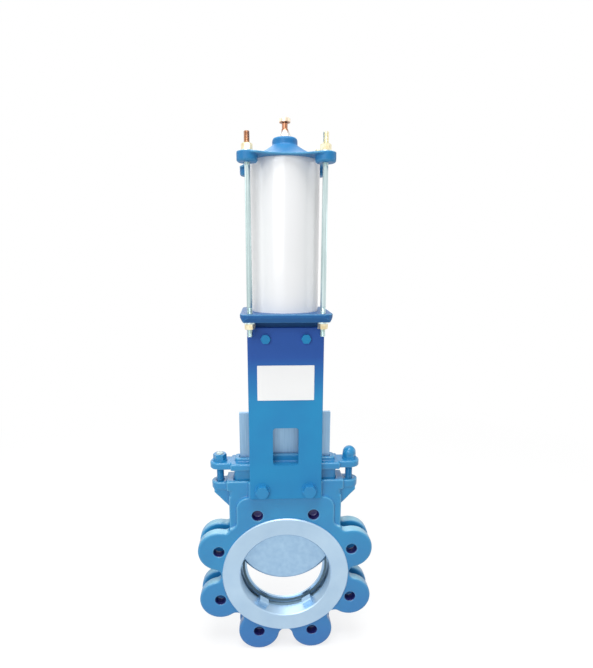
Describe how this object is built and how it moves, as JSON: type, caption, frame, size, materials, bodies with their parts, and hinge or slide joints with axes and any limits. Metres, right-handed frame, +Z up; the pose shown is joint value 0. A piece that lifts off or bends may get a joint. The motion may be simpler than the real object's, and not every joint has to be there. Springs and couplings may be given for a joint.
{
  "type": "knife gate valve",
  "caption": "Lug-body knife gate valve with a pneumatic cylinder on a plate yoke: the gate slides through a packed gland to shut the bore.",
  "frame": {"origin": "centre of the inlet raised face, on the bore axis", "axes": "+Y along the bore from inlet to outlet, +Z up along the gate's travel towards the cylinder, +X across the valve"},
  "size_m": [0.2918, 0.132, 0.8534],
  "materials": {
    "blue_enamel": "blue enamel over cast iron and steel plate, semi-gloss",
    "white_enamel": "white gloss enamel on steel tube",
    "white_plate": "white stove-enamelled sheet, blank",
    "machined_stainless": "turned and ground stainless steel",
    "zinc_steel": "bright zinc-plated steel",
    "yellow_zinc": "yellow-passivated zinc-plated steel",
    "brass": "turned brass, tarnished",
    "bronze": "cast bronze",
    "chromed_rod": "hard-chromed ground bar",
    "aluminium": "turned aluminium",
    "black_rubber": "moulded nitrile rubber",
    "guide_plastic": "machined UHMW polyethylene",
    "packing_braid": "braided PTFE packing, square section"
  },
  "bodies": {
    "valve_body": {"body": "blue_enamel", "inlet_liner": "machined_stainless", "outlet_ring": "machined_stainless", "seat_ring": "machined_stainless", "seat_seal": "black_rubber", "gate_wedges": "machined_stainless", "gate_guides": "guide_plastic", "packing_rings": "packing_braid", "gland_studs": "blue_enamel", "yoke_plate_front": "blue_enamel", "yoke_plate_rear": "blue_enamel", "yoke_lower_bolts": "blue_enamel", "yoke_lower_washers": "blue_enamel", "yoke_upper_bolts": "blue_enamel", "yoke_head": "blue_enamel", "nameplate": "white_plate", "lower_cover": "blue_enamel", "upper_cover": "blue_enamel", "cylinder_tube": "white_enamel", "tube_orings": "black_rubber", "tie_rods": "zinc_steel", "tie_rod_washers_lower": "zinc_steel", "tie_rod_nuts_lower": "yellow_zinc", "tie_rod_washers_upper": "zinc_steel", "tie_rod_nuts_upper": "yellow_zinc", "air_fitting": "brass", "rod_bush": "bronze", "rod_seal": "black_rubber", "rod_wiper": "black_rubber"},
    "gate_train": {"gate": "machined_stainless", "clevis": "zinc_steel", "clevis_pin": "zinc_steel", "clevis_clips": "zinc_steel", "rod_locknut": "zinc_steel", "piston_rod": "chromed_rod", "piston": "aluminium", "piston_seals": "black_rubber", "wear_ring": "bronze", "piston_nut": "zinc_steel"},
    "gland_set": {"gland": "blue_enamel", "gland_hex_nut": "blue_enamel", "gland_cap_nut": "blue_enamel", "gland_washers": "blue_enamel"}
  },
  "joints": [
    {"name": "gate_travel", "type": "slide", "parent": "valve_body", "child": "gate_train", "axis": [0, 0, 1], "range_m": [-0.053, 0.09]},
    {"name": "gland_adjust", "type": "slide", "parent": "valve_body", "child": "gland_set", "axis": [0, 0, 1], "range_m": [-0.006, 0], "deforming": ["packing_rings"]}
  ]
}
